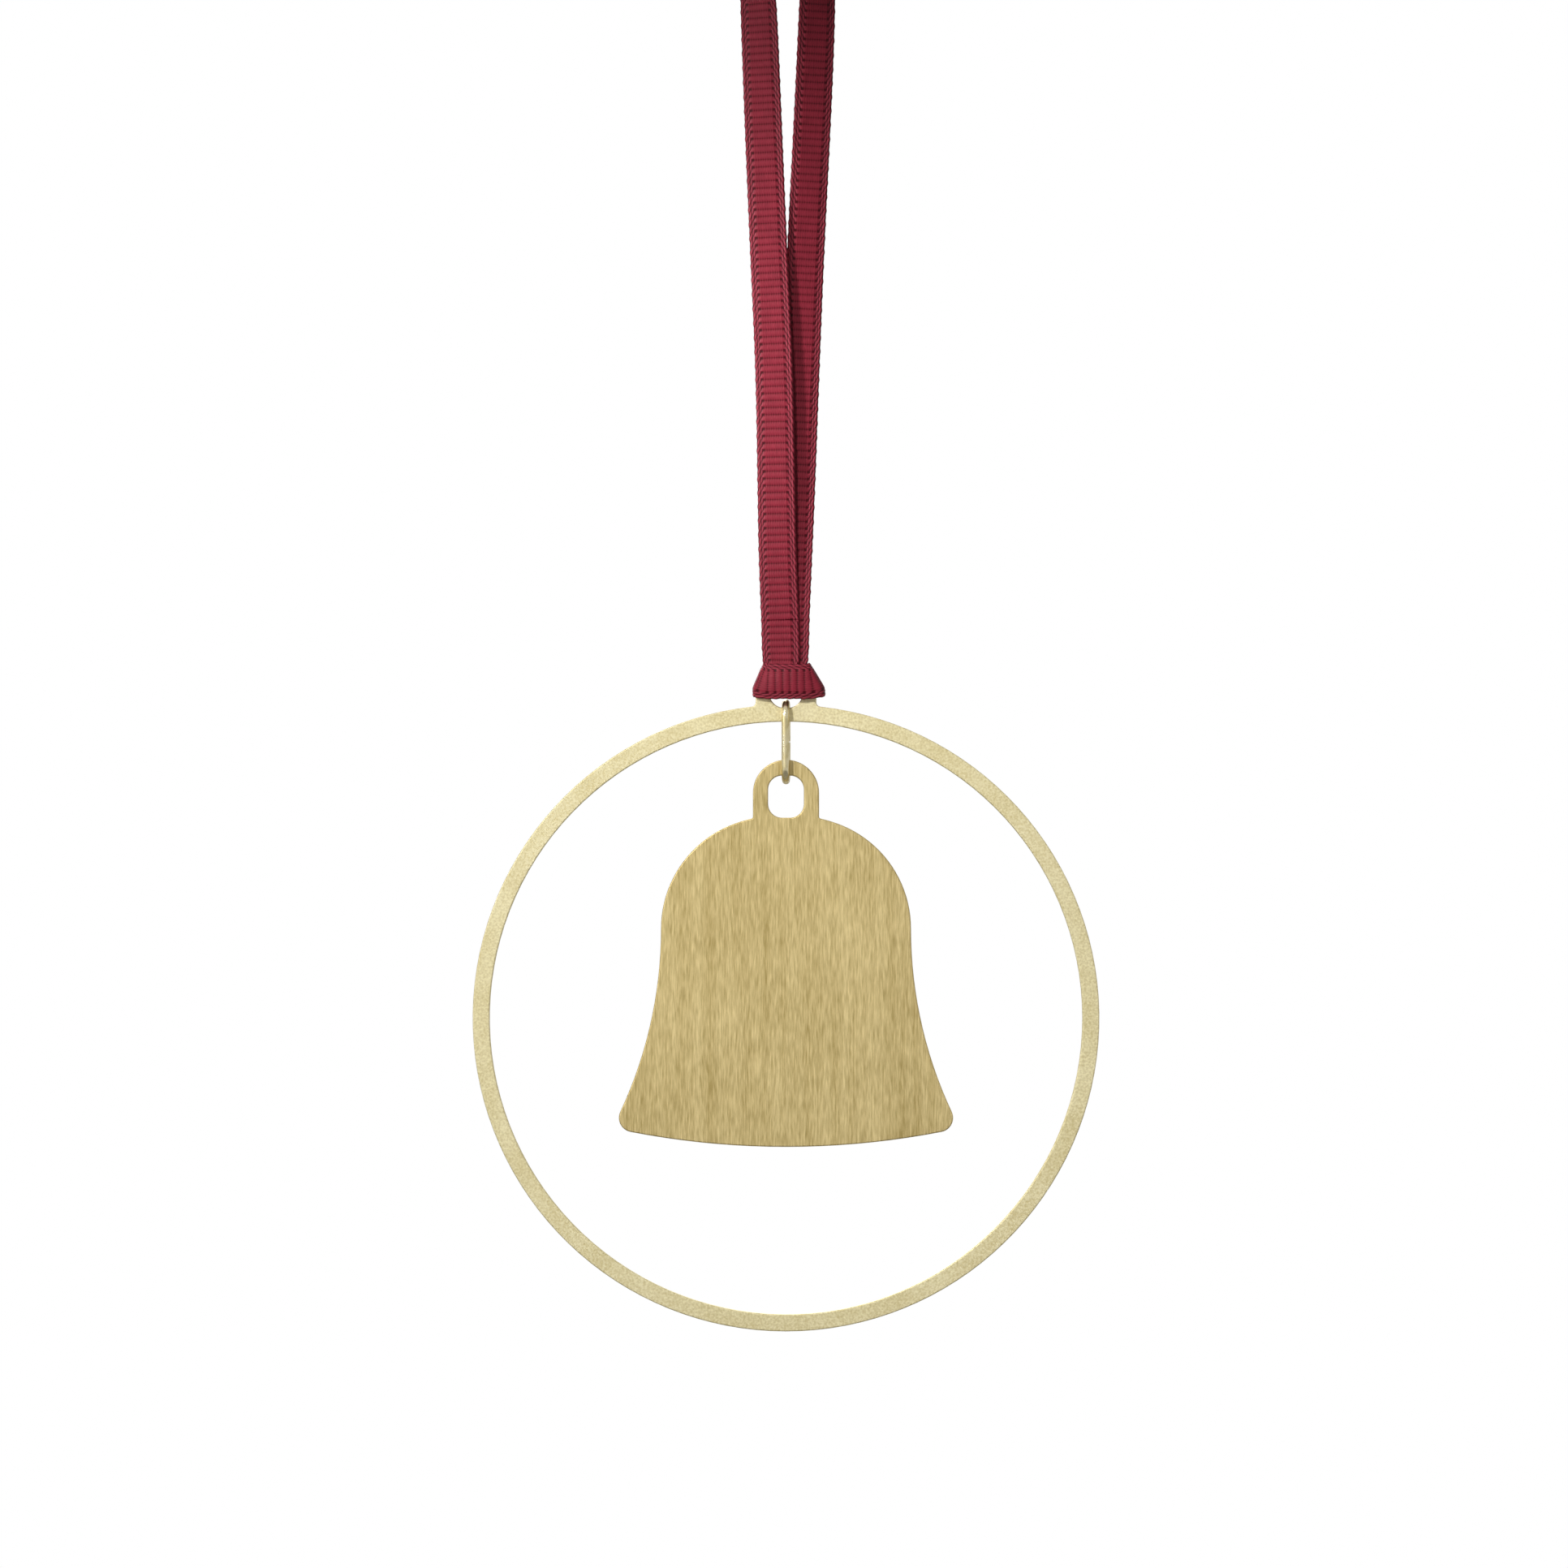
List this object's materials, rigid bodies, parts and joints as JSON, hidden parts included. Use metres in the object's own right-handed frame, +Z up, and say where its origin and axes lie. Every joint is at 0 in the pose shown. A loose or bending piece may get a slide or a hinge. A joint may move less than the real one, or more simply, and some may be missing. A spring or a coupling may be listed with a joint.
{
  "type": "bell ornament",
  "caption": "Flat bell hung by a wire link inside a flat ring, on a flat ribbon loop that is cinched to the ring's tab and hangs from a peg or a twig.",
  "frame": {"origin": "inner top of the ribbon loop, where a peg or twig carries it", "axes": "+Z up, +Y towards the back; the ring and the bell stand in the XZ plane"},
  "size_m": [0.1, 0.006, 0.2489],
  "materials": {
    "blasted_brass": "bead-blasted, matt pale gold",
    "brushed_brass": "brushed upright, satin gold",
    "brass_wire": "smooth drawn wire, pale gold",
    "grosgrain": "ribbed woven grosgrain, dark red",
    "thread": "sewing thread, dark red"
  },
  "bodies": {
    "hanger": {"ribbon_bend": "grosgrain", "ribbon_lap": "grosgrain", "seam_thread": "thread"},
    "strands": {"ribbon_strand_left": "grosgrain", "ribbon_strand_right": "grosgrain"},
    "ring": {"ring_frame": "blasted_brass", "ribbon_knot": "grosgrain"},
    "link": {"wire_link": "brass_wire"},
    "bell": {"bell_plate": "brushed_brass"}
  },
  "joints": [
    {"name": "ribbon_twist", "type": "hinge", "parent": "hanger", "child": "strands", "pos_m": [0, 0, -0.0315], "axis": [0, 0, 1], "range_deg": [-180, 180]},
    {"name": "ribbon_fold", "type": "hinge", "parent": "strands", "child": "ring", "pos_m": [0, 0, -0.13885], "axis": [1, 0, 0], "range_deg": [-90, 90]},
    {"name": "link_swing", "type": "hinge", "parent": "ring", "child": "link", "pos_m": [0, 0, -0.14981], "axis": [0.9986, -0.0523, 0], "range_deg": [-90, 90]},
    {"name": "bell_sway", "type": "hinge", "parent": "link", "child": "bell", "pos_m": [0, 0, -0.16011], "axis": [0, 1, 0], "range_deg": [-20, 20]}
  ]
}
